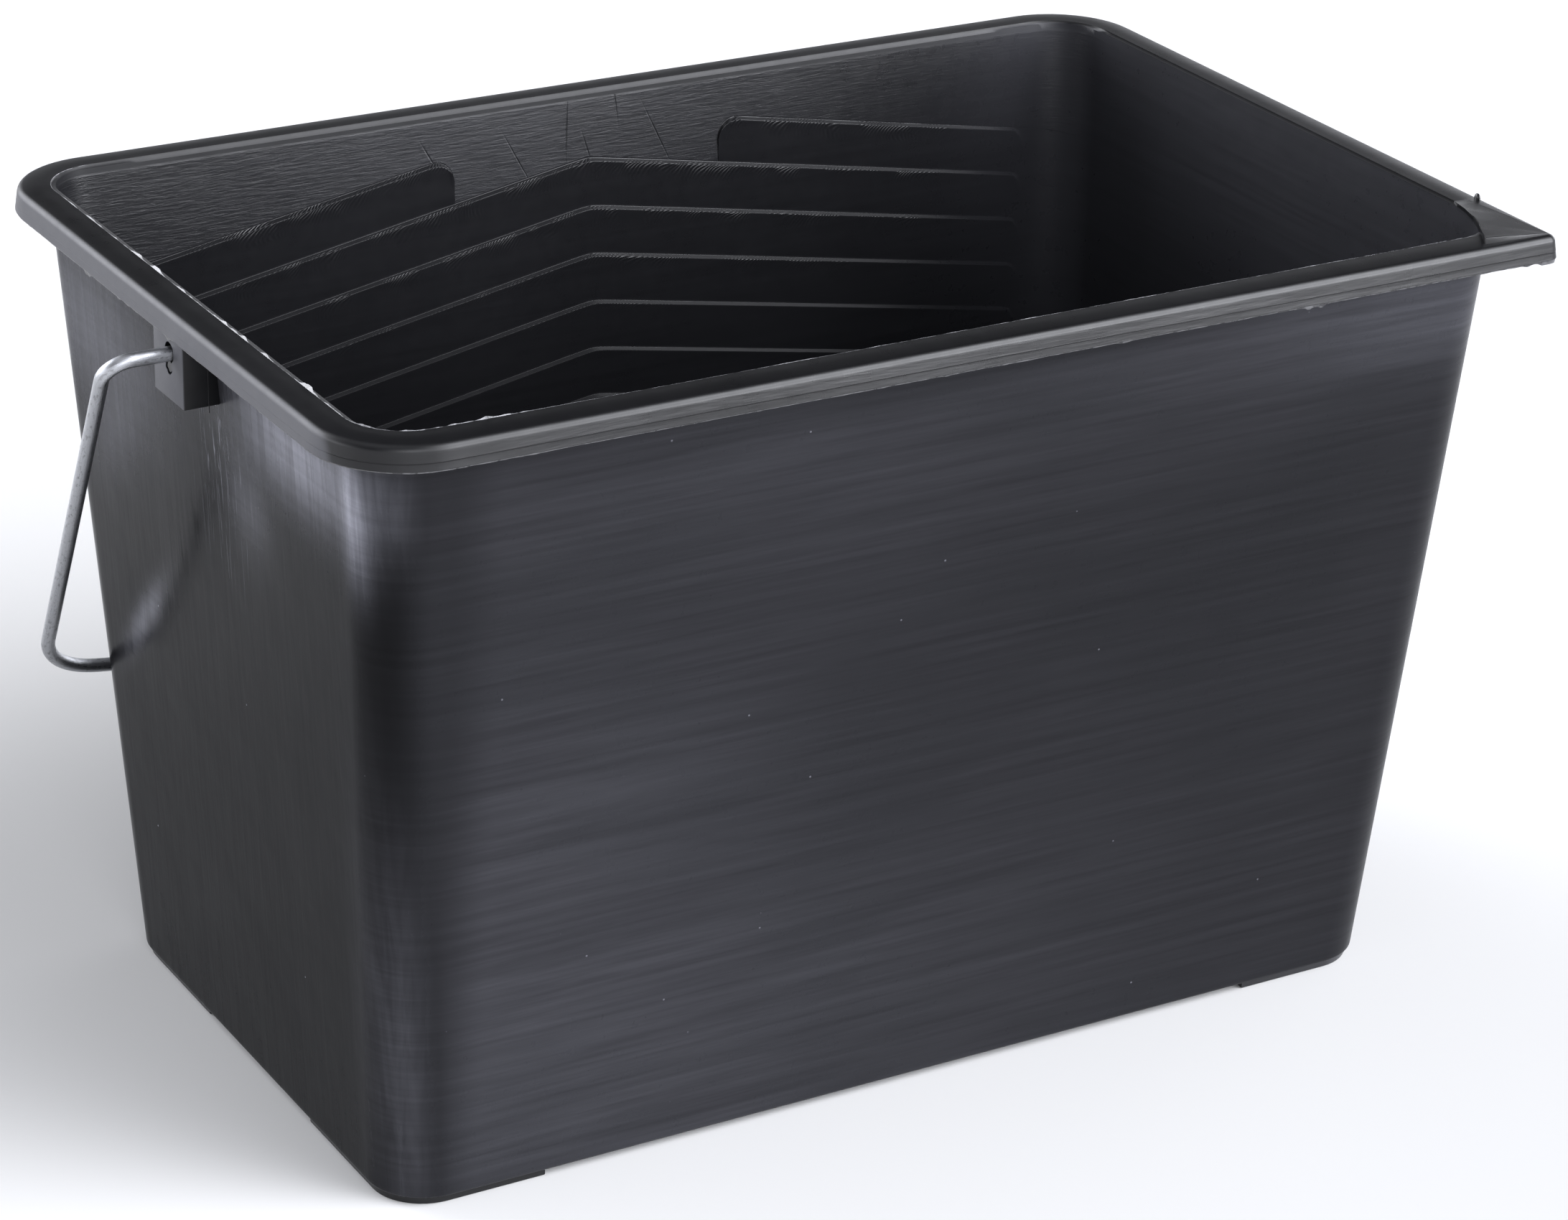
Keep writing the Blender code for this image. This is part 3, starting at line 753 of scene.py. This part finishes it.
def make_bail():
    half = bail_half_path()
    path = [(-x, reach) for x, reach in reversed(half[1:])] + half
    centres = [Vector((x, 0.0, -reach)) for x, reach in path]
    builder = bmesh.new()
    uv = builder.loops.layers.uv.new("along")
    across = Vector((0.0, 1.0, 0.0))
    rings, lengths, length = [], [], 0.0
    last = len(centres) - 1
    for index, centre in enumerate(centres):
        before, after = centres[max(index - 1, 0)], centres[min(index + 1, last)]
        side = (after - before).normalized().cross(across)
        if index:
            length += (centre - before).length
        lengths.append(length)
        rings.append([builder.verts.new(centre + WIRE_RADIUS * (across * math.cos(a) + side * math.sin(a)))
                      for a in turns(WIRE_SIDES)])
    for index, (near, far) in enumerate(zip(rings, rings[1:])):
        for i, face in enumerate(bridge(builder, near, far)):
            corners = ((i, index), (i + 1, index), (i + 1, index + 1), (i, index + 1))
            for loop, (u, v) in zip(face.loops, corners):
                loop[uv].uv = (u / WIRE_SIDES, lengths[v])
    for ring in (rings[0], rings[-1]):
        centre = sum((v.co for v in ring), Vector()) / len(ring)
        small = [builder.verts.new(centre + (v.co - centre) * WIRE_END_SHARE) for v in ring]
        bridge(builder, ring, small)
        builder.faces.new(small)
    item = new_object("bail_wire", builder)
    item.data.transform(Matrix.Translation((0.0, PIVOT_Y, PIVOT_Z)) @ Matrix.Rotation(HANG_ANGLE, 4, "X"))
    shade(item, 40.0)
    return item


# Materials

class Nodes:
    """Short helper for building the node tree of a material or the world."""

    def __init__(self, owner, shader="Principled BSDF"):
        self.owner = owner
        owner.use_nodes = True
        self.tree = owner.node_tree
        self.shader = self.tree.nodes[shader]

    def fill(self, socket, value):
        """Links a node's output to the socket, or sets the socket when the value is a constant."""
        if isinstance(value, bpy.types.NodeSocket):
            self.tree.links.new(value, socket)
        else:
            socket.default_value = value

    def feed(self, name, value):
        self.fill(self.shader.inputs[name], value)

    def add(self, kind, inputs=(), **settings):
        node = self.tree.nodes.new("ShaderNode" + kind)
        for key, value in settings.items():
            setattr(node, key, value)
        for key, value in dict(inputs).items():
            self.fill(node.inputs[key], value)
        return node

    def math(self, operation, a, b=0.0):
        return self.add("Math", {0: a, 1: b}, operation=operation).outputs[0]

    def chain(self, operation, values):
        total, *others = values
        for value in others:
            total = self.math(operation, total, value)
        return total

    def plus(self, *values):
        return self.chain("ADD", values)

    def minus(self, a, b):
        return self.math("SUBTRACT", a, b)

    def times(self, *values):
        return self.chain("MULTIPLY", values)

    def square(self, value):
        return self.math("POWER", value, 2.0)

    def rest(self, value):
        """What is left of 1 after the value."""
        return self.minus(1.0, value)

    def noise(self, vector, scale, detail=3.0, rough=0.5, distortion=0.0):
        node = self.add("TexNoise", {"Vector": vector, "Scale": scale, "Detail": detail,
                                               "Roughness": rough, "Distortion": distortion})
        return node.outputs["Fac"]

    def stretched(self, vector, scales, detail, rough, distortion=0.0, turn=0.0):
        """Noise with its own fineness along each axis, turned about y."""
        inputs = {"Vector": vector, "Scale": scales, "Rotation": (0.0, turn, 0.0)}
        placed = self.add("Mapping", inputs).outputs[0]
        return self.noise(placed, 1.0, detail, rough, distortion)

    def remap(self, value, span, to_low=0.0, to_high=1.0, smooth=False):
        """The value's place in the span, mapped onto the range from to_low to to_high."""
        inputs = {1: span[0], 2: span[1], 3: to_low, 4: to_high, 0: value}
        kind = "SMOOTHSTEP" if smooth else "LINEAR"
        return self.add("MapRange", inputs, interpolation_type=kind).outputs["Result"]

    def bumps(self, *layers):
        """The normal after a stack of bumps, each (height, distance, strength), the widest first."""
        inputs = {}
        for height, distance, strength in layers:
            inputs.update({"Height": height, "Distance": distance, "Strength": strength})
            inputs["Normal"] = self.add("Bump", inputs).outputs["Normal"]
        self.feed("Normal", inputs["Normal"])

    def mix(self, factor, a, b):
        return self.add("Mix", {0: factor, 6: a, 7: b}, data_type="RGBA").outputs[2]


# Painted highlights and reflections on the left end wall: (y, z, half-width, half-height, turn in radians,
# strength)
LEFT_PAINTED_HIGHLIGHTS = ((-0.060, 0.201, 0.034, 0.013, 0.0, 0.170), (-0.0895, 0.196, 0.0046, 0.016, 0.0, 0.180),
          (-0.026, 0.174, 0.012, 0.012, 0.3, 0.045), (0.070, 0.189, 0.045, 0.023, 0.0, 0.070),
          (0.050, 0.113, 0.0042, 0.020, 0.785, 0.090), (0.062, 0.160, 0.010, 0.020, 0.9, 0.030),
          (-0.087, 0.030, 0.011, 0.070, 0.0, 0.034))
# Fine pale streaks below the lug, one spot given the same way
UNDER_LUG_STREAKS = (-0.012, 0.178, 0.014, 0.022, 0.0, 1.0)
# Hairline scratches on the upper band of the back wall, the same way in x and z
SCRATCHES = ((-0.0062, 0.2094, 0.00016, 0.0075, -0.07, 0.8), (-0.0218, 0.2033, 0.00016, 0.0060, 0.48, 0.8),
             (-0.0001, 0.2035, 0.00020, 0.0034, 0.28, 0.7), (0.0225, 0.2038, 0.00016, 0.0070, 0.43, 0.8),
             (-0.0487, 0.2078, 0.00020, 0.0035, 0.50, 0.7), (0.0094, 0.2150, 0.00020, 0.0045, 0.09, 0.6))
# Painted light on the front wall, the same way but in x and z
FRONT_PAINTED_LIGHT = ((-0.110, 0.020, 0.140, 0.060, 0.0, 0.015), (-0.115, 0.108, 0.075, 0.045, 0.0, 0.010),
              (-0.080, 0.200, 0.140, 0.035, 0.0, 0.008), (0.150, 0.210, 0.050, 0.020, 0.0, 0.030),
              (0.080, 0.206, 0.060, 0.020, 0.0, 0.008))
# Where each mask on the plastic starts and where it is full
INSIDE_DEPTH = (0.0008, 0.0014)
INSIDE_TOP_Z = (0.2197, 0.2193)
LEFT_END_DEPTH = (0.014, 0.004)
LEFT_SKIRT_X = (-0.1702, -0.1714)
LEFT_SKIRT_LOW_Z = 0.2127
LEFT_LUG_X = (-0.17130, -0.17148)
FRONT_Y = (-0.080, -0.084)
FRONT_X = (-0.143, -0.127)
BACK_Y = (0.060, 0.075)
BACK_RIM_Y = (0.090, 0.1025)
RIM_LOW_Z = 0.2175
RIGHT_X = (0.08, 0.15)
RIGHT_FAR_Y = (0.05, 0.09)
DEEP_Z = (0.10, 0.20)
BAND_RISE = (0.0004, 0.0007)
BAND_TOP_Z = (0.2177, 0.2171)
BAND_LEFT_X = (-0.15, -0.05)
BAND_RIGHT_X = (-0.02, 0.10)
BAND_CALM_X = (0.0, 0.11)
# Curved tool marks under the ledges
ARC_RADIUS = 5.0 * MM
ARC_PITCH = 1.3 * MM
ARC_WANDER = 0.012
ARC_DROP = (0.3 * ARC_RADIUS, 1.1 * ARC_RADIUS)
ARC_LOW_Z = (0.15, 0.19)
ARC_HIGH_Z = (0.2162, 0.2152)
ARC_END_X = (0.125, 0.105)
# Painted light in the inner corner at the back right, in x and y
CORNER_PAINTED_LIGHT = (0.152, 0.094, 0.022, 0.022, 0.0, 0.013)
# The smoother part of the left end: its upper limit falls towards the back, its lower one is the base
SATIN_HIGH_Z = (0.145, 0.198)
SATIN_LOW_Z = (0.07, 0.0)
SATIN_SLOPE = 0.35
# The usual spread of a noise, and a narrower one
SPREAD = (0.3, 0.7)
NARROW = (0.35, 0.65)
PLASTIC_TINT = (0.97, 0.98, 1.12)
PLASTIC_IOR = 1.49


def plastic_material(name, sheen, outer_walls):
    """Black plastic: outer_walls for the outside of the walls, else for the inside, the rim and small
    parts; both carry painted light in their colour.
    """
    n = Nodes(bpy.data.materials.new(name))
    where = n.add("TexCoord").outputs["Object"]
    x, y, z = n.add("SeparateXYZ", {0: where}).outputs
    far_x, far_y = n.math("ABSOLUTE", x), n.math("ABSOLUTE", y)

    def blob(u, v, centre_u, centre_v, half_u, half_v, turn, strength):
        """A soft spot with its middle at the centre."""
        du, dv = n.minus(u, centre_u), n.minus(v, centre_v)
        c, s = math.cos(turn), math.sin(turn)
        across = n.plus(n.times(du, c / half_u), n.times(dv, s / half_u))
        along = n.minus(n.times(dv, c / half_v), n.times(du, s / half_v))
        square = n.plus(n.square(across), n.square(along))
        return n.times(n.math("EXPONENT", n.times(square, -1.0)), strength)

    def blobs(u, v, spots):
        return n.plus(*[blob(u, v, *spot) for spot in spots])

    # masks: inside the bucket, its upper back band above the ledges, the left end wall, the front wall
    slope_x = (half_length_at(RIM_TOP) - BASE_HALF_LENGTH) / RIM_TOP
    slope_y = (half_width_at(RIM_TOP) - BASE_HALF_WIDTH) / RIM_TOP
    gap_x = n.minus(n.plus(n.times(z, slope_x), BASE_HALF_LENGTH), far_x)
    gap_y = n.minus(n.plus(n.times(z, slope_y), BASE_HALF_WIDTH), far_y)
    inside = 0.0
    if not outer_walls:
        inside = n.times(n.remap(n.math("MINIMUM", gap_x, gap_y), INSIDE_DEPTH), n.remap(z, INSIDE_TOP_Z))
    inside_back = n.times(inside, n.remap(y, BACK_Y))
    level = n.plus(z, n.times(far_x, GRID_SLOPE))
    beyond = n.math("GREATER_THAN", far_x, PANEL_EDGE_X)
    rounding = n.math("MAXIMUM", n.minus(PANEL_EDGE_X + PANEL_CORNER_RADIUS, far_x), 0.0)
    drop = n.minus(PANEL_CORNER_RADIUS ** 2, n.square(rounding))
    drop = n.minus(PANEL_CORNER_RADIUS, n.math("SQRT", n.math("MAXIMUM", drop, 0.0)))
    rise = n.minus(GRID_APEXES[0] - GRID_APEXES[1], drop)
    line_level = n.plus(n.times(beyond, rise), GRID_APEXES[1])
    band = n.times(n.remap(n.minus(level, line_level), BAND_RISE), n.remap(z, BAND_TOP_Z), inside_back)
    band_fade = n.times(n.remap(x, BAND_LEFT_X, 0.0, 0.5), n.remap(x, BAND_RIGHT_X, 1.0, 0.0))
    left_end = left_rim = 0.0
    if outer_walls:
        left_end = n.times(n.remap(gap_x, LEFT_END_DEPTH, smooth=True), n.math("LESS_THAN", x, 0.0))
    else:
        # the skirt at the left, and the face of the left lug below it, rougher and with a painted highlight
        skirt = n.times(n.remap(x, LEFT_SKIRT_X, smooth=True), n.math("GREATER_THAN", z, LEFT_SKIRT_LOW_Z))
        left_rim = n.math("MAXIMUM", skirt, n.remap(x, LEFT_LUG_X))
    front = n.times(n.remap(y, FRONT_Y), n.remap(x, FRONT_X, smooth=True))
    # heights
    under = n.math("FLOORED_MODULO", n.minus(GRID_APEXES[1], level), GRID_PITCH)
    arc_height = n.math("MAXIMUM", n.minus(ARC_RADIUS, under), 0.0)
    arc_shift = n.math("SQRT", n.minus(ARC_RADIUS ** 2, n.square(arc_height)))
    arc_place = n.plus(x, arc_shift, n.times(n.noise(where, 60.0, 2.0), ARC_WANDER))
    arcs = n.times(n.math("SINE", n.times(arc_place, 2 * math.pi / ARC_PITCH)),
                   n.remap(under, ARC_DROP, 1.0, 0.0), n.remap(n.noise(where, 90.0, 2.0), (0.42, 0.62)),
                   n.rest(band), inside_back,
                   n.remap(z, ARC_LOW_Z), n.remap(z, ARC_HIGH_Z), n.remap(far_x, ARC_END_X))
    grain = n.noise(where, 2600.0, 2.0, 0.6)
    peel = n.noise(where, 260.0, 3.0, 0.55)
    wave = n.noise(where, 34.0, 2.0)
    flow = n.stretched(where, (150.0, 150.0, 1500.0), 4.0, 0.62, 0.4)
    brushed = n.stretched(where, (9.0, 9.0, 110.0), 5.0, 0.62, 0.3, 0.10)
    streak = n.stretched(where, (330.0, 330.0, 15.0), 3.0, 0.55, 0.6)
    hair = n.stretched(where, (16.0, 16.0, 620.0), 3.0, 0.6, 0.0, -0.22)
    scratch = n.times(n.math("MINIMUM", blobs(x, z, SCRATCHES), 1.0), band)
    # dust
    cells = n.add("TexVoronoi", {"Vector": where, "Scale": 260.0})
    draw = n.add("SeparateColor", {0: cells.outputs["Color"]}).outputs[0]
    speck = n.times(n.remap(cells.outputs["Distance"], (0.09, 0.05)), n.math("GREATER_THAN", draw, 0.980))
    # paleness: how much light the plastic throws back, from clean black to grey, with dust, wear and
    # painted light mixed in
    cloud = n.noise(where, 12.0)
    pale = n.remap(cloud, SPREAD, 0.004, 0.006)
    if outer_walls:
        # painted highlights and reflections on the left end wall
        painted_highlights = n.times(blobs(y, z, LEFT_PAINTED_HIGHLIGHTS), n.remap(streak, SPREAD, 0.70, 1.20))
        under_lug_noise = n.stretched(where, (900.0, 900.0, 24.0), 3.0, 0.6, 0.8)
        under_lug_streaks = n.times(blob(y, z, *UNDER_LUG_STREAKS), n.remap(under_lug_noise, (0.58, 0.70), 0.0, 0.14))
        # painted light on the front wall
        front_painted_light = n.times(blobs(x, z, FRONT_PAINTED_LIGHT), n.remap(brushed, SPREAD, 0.6, 1.4))
        # painted reflection: the outer walls paler except at the left end, standing in for the low sheen
        pale = n.plus(pale, n.times(n.rest(left_end), 0.0068),
                      n.times(n.plus(painted_highlights, under_lug_streaks), left_end), n.times(front_painted_light, front))
    # the upper back band paler, partly its own grain and partly painted light; band_fade keeps it darker
    # towards both ends as painted shade
    pale = n.plus(pale, n.times(n.remap(flow, SPREAD, 0.004, 0.018), band_fade, band))
    pale = n.times(pale, n.rest(scratch))
    # painted light: the inside of the right wall paler, most towards the front
    right_inside = n.times(inside, n.remap(x, RIGHT_X, smooth=True))
    pale = n.plus(pale, n.times(right_inside, n.remap(y, RIGHT_FAR_Y, 0.020, 0.009)))
    pale = n.times(pale, n.remap(hair, SPREAD, 0.86, 1.14))
    # painted shade and light: the inside darker lower down, a painted highlight on the left skirt and lug
    # face, and painted light in the back right corner
    pale = n.plus(pale, n.times(inside, n.remap(z, DEEP_Z, 0.001, 0.003)), n.times(left_rim, 0.055),
                  n.times(inside, blob(x, y, *CORNER_PAINTED_LIGHT)))
    dust = n.plus(n.times(left_end, 0.20), n.times(n.rest(inside), 0.07))
    pale = n.plus(pale, n.times(speck, dust))
    channels = {index: n.times(pale, tint) for index, tint in enumerate(PLASTIC_TINT)}
    n.feed("Base Color", n.add("CombineColor", channels).outputs[0])
    rough = n.plus(n.remap(cloud, SPREAD, 0.27, 0.31), n.remap(peel, SPREAD, -0.02, 0.03),
                   n.times(n.remap(streak, NARROW, -0.08, 0.02), left_end), n.times(band, band_fade, 0.12),
                   n.times(left_rim, 0.20))
    if outer_walls:
        # the left end is smoother away from the rim, the back of it only lower down
        high = n.plus(z, n.times(n.math("MAXIMUM", y, 0.0), SATIN_SLOPE))
        satin = n.math("MAXIMUM", n.remap(high, SATIN_HIGH_Z, smooth=True),
                       n.remap(z, SATIN_LOW_Z, 0.0, 0.6, smooth=True))
        gloss = n.times(left_end, n.rest(satin), 0.25)
        rough = n.times(rough, n.rest(gloss))
    else:
        # the rim is duller along the back
        on_rim = n.math("GREATER_THAN", z, RIM_LOW_Z)
        rough = n.plus(rough, n.times(n.remap(y, BACK_RIM_Y, 0.0, 0.12, smooth=True), on_rim))
    n.feed("Roughness", rough)
    calm = n.remap(x, BAND_CALM_X, 1.0, 0.35)
    n.bumps((wave, 0.0006, 0.5), (n.times(streak, left_end), 0.0003, 0.14),
            (n.times(flow, band, calm), 0.00014, 0.8), (scratch, -0.0003, 0.5), (arcs, 0.00010, 0.8),
            (n.times(brushed, front), 0.0004, 0.5), (peel, 0.00002, 0.6), (hair, 0.00002, 0.5),
            (grain, 0.000006, 0.5), (n.times(speck, n.rest(inside)), 0.00004, 0.8))
    n.feed("IOR", PLASTIC_IOR)
    n.feed("Specular IOR Level", sheen)
    return n.owner


def flash_material(name, torn_grey):
    """The thin torn edges: the same plastic, paler where it is stretched."""
    n = Nodes(bpy.data.materials.new(name))
    torn = n.noise(n.add("TexCoord").outputs["Object"], 420.0, 3.0, 0.6)
    pale = (torn_grey, torn_grey, 1.05 * torn_grey, 1.0)
    n.feed("Base Color", n.mix(n.remap(torn, (0.36, 0.60)), (0.02, 0.02, 0.022, 1.0), pale))
    n.feed("Roughness", n.remap(torn, SPREAD, 0.22, 0.42))
    n.bumps((torn, 0.0002, 0.6))
    n.feed("IOR", PLASTIC_IOR)
    return n.owner


def wire_material(name):
    """Dull galvanised steel with drawing lines along the wire."""
    n = Nodes(bpy.data.materials.new(name))
    split = n.add("SeparateXYZ", {0: n.add("UVMap", uv_map="along").outputs["UV"]})
    turn = n.times(split.outputs[0], 2 * math.pi)
    ring = n.add("CombineXYZ", {0: n.math("COSINE", turn), 1: n.math("SINE", turn),
                                          2: split.outputs[1]}).outputs[0]
    drawn = n.stretched(ring, (9.0, 9.0, 26.0), 4.0, 0.6)
    fine = n.stretched(ring, (30.0, 30.0, 90.0), 3.0, 0.6)
    spot = n.stretched(ring, (2.0, 2.0, 420.0), 4.0, 0.65)
    base = n.mix(drawn, (0.34, 0.35, 0.38, 1.0), (0.58, 0.59, 0.61, 1.0))
    n.feed("Base Color", n.mix(n.remap(spot, (0.55, 0.70)), base, (0.22, 0.22, 0.23, 1.0)))
    n.feed("Metallic", 1.0)
    n.feed("Roughness", n.plus(n.remap(drawn, SPREAD, 0.24, 0.36), n.remap(spot, (0.45, 0.7), 0.0, 0.16)))
    n.bumps((drawn, 0.00012, 0.5), (fine, 0.00004, 0.5), (spot, 0.00006, 0.4))
    return n.owner


# Stage, light and camera

FLOOR_HALF = 6.0

def make_floor():
    n = Nodes(bpy.data.materials.new("floor_pale"))
    soft = n.noise(n.add("TexCoord").outputs["Object"], 0.8, 2.0)
    n.feed("Base Color", n.mix(soft, (0.66, 0.658, 0.65, 1.0), (0.68, 0.678, 0.67, 1.0)))
    n.feed("Roughness", 0.9)
    n.feed("Specular IOR Level", 0.2)
    builder = bmesh.new()
    corners = ((-1, -1), (1, -1), (1, 1), (-1, 1))
    builder.faces.new([builder.verts.new((x * FLOOR_HALF, y * FLOOR_HALF, 0.0)) for x, y in corners])
    floor = new_object("floor", builder)
    floor.data.materials.append(n.owner)


# Studio light as soft lobes on the sky: (azimuth, elevation, sharpness, radiance); azimuth 0 is the -y side
LOBES = ((36.0, 4.0, 22.0, 14.5), (342.0, 20.0, 22.0, 4.6), (18.0, 20.0, 22.0, 2.7),
         (54.0, 20.0, 22.0, 3.2), (45.0, 40.0, 20.0, 12.5), (108.0, 4.0, 22.0, 3.6),
         (126.0, 20.0, 22.0, 0.4), (198.0, 20.0, 22.0, 0.7), (209.0, 19.0, 24.0, 9.0),
         (216.0, 4.0, 22.0, 4.5), (254.0, 6.0, 22.0, 3.0), (270.0, 72.0, 8.0, 0.9))
GLOW_RADIANCE = 0.9
GLOW_SHARPNESS = 25.0
LIGHT_COLOUR = (0.93, 0.945, 1.0, 1.0)


def make_light():
    world = bpy.data.worlds.new("studio")
    bpy.context.scene.world = world
    n = Nodes(world, "Background")
    where = n.add("TexCoord").outputs["Generated"]
    # the pale sweep behind the floor glows low above the horizon
    height = n.add("SeparateXYZ", {0: where}).outputs[2]
    square = n.times(n.square(height), GLOW_SHARPNESS)
    total = n.times(n.math("EXPONENT", n.times(n.square(square), -1.0)), GLOW_RADIANCE)
    for azimuth, elevation, sharpness, radiance in LOBES:
        a, e = math.radians(azimuth), math.radians(elevation)
        middle = (math.sin(a) * math.cos(e), -math.cos(a) * math.cos(e), math.sin(e))
        towards = n.add("VectorMath", {0: where, 1: middle}, operation="DOT_PRODUCT")
        falloff = n.times(n.minus(towards.outputs["Value"], 1.0), sharpness)
        total = n.plus(n.times(n.math("EXPONENT", falloff), radiance), total)
    n.feed("Strength", total)
    n.feed("Color", LIGHT_COLOUR)


# The photo's camera, solved from the object's straight edges
CAMERA_LENS = 110.02
CAMERA_PLACE = Vector((-0.59268, -1.02779, 0.63224))
CAMERA_RIGHT = Vector((0.86817, -0.49577, 0.02239))
CAMERA_UP = Vector((0.18434, 0.36405, 0.91295))
CAMERA_FORWARD = Vector((0.46076, 0.78847, -0.40745))


def make_camera():
    data = bpy.data.cameras.new("camera")
    data.lens, data.sensor_width = CAMERA_LENS, 36.0
    data.clip_start, data.clip_end = 0.05, 50.0
    item = bpy.data.objects.new("camera", data)
    turn = Matrix((CAMERA_RIGHT, CAMERA_UP, -CAMERA_FORWARD)).transposed()
    item.matrix_world = Matrix.Translation(CAMERA_PLACE) @ turn.to_4x4()
    bpy.context.scene.collection.objects.link(item)
    bpy.context.scene.camera = item


def put(item, materials, body="bucket"):
    """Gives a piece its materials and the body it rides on."""
    for material in materials:
        item.data.materials.append(material)
    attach(item, body)
    return item


make_camera()
make_floor()
make_light()
bpy.context.scene.view_settings.view_transform = "Standard"

plastic = plastic_material("smooth_black_polypropylene", 0.36, False)
wall_plastic = plastic_material("outer_black_polypropylene_painted_light", 0.05, True)
rim_edge = flash_material("torn_rim_edge", 0.34)
# the skirt's flash is real, but its colour is kept darker than the rim's as painted shade of the gap under
# the skirt
skirt_edge = flash_material("torn_skirt_edge", 0.09)
steel = wire_material("dull_galvanised_steel")
shell = put(make_shell(), (plastic, wall_plastic))
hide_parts("bucket_body")
put(rim_flash(), (rim_edge,))
put(skirt_flash(), (skirt_edge,))
put(make_spout_pad(), (plastic,))
for lug_side in (-1, 1):
    put(make_lug(lug_side), (plastic,))
put(make_feet(), (plastic,))
wire = put(make_bail(), (steel,), "bail")
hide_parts("wire_bail")
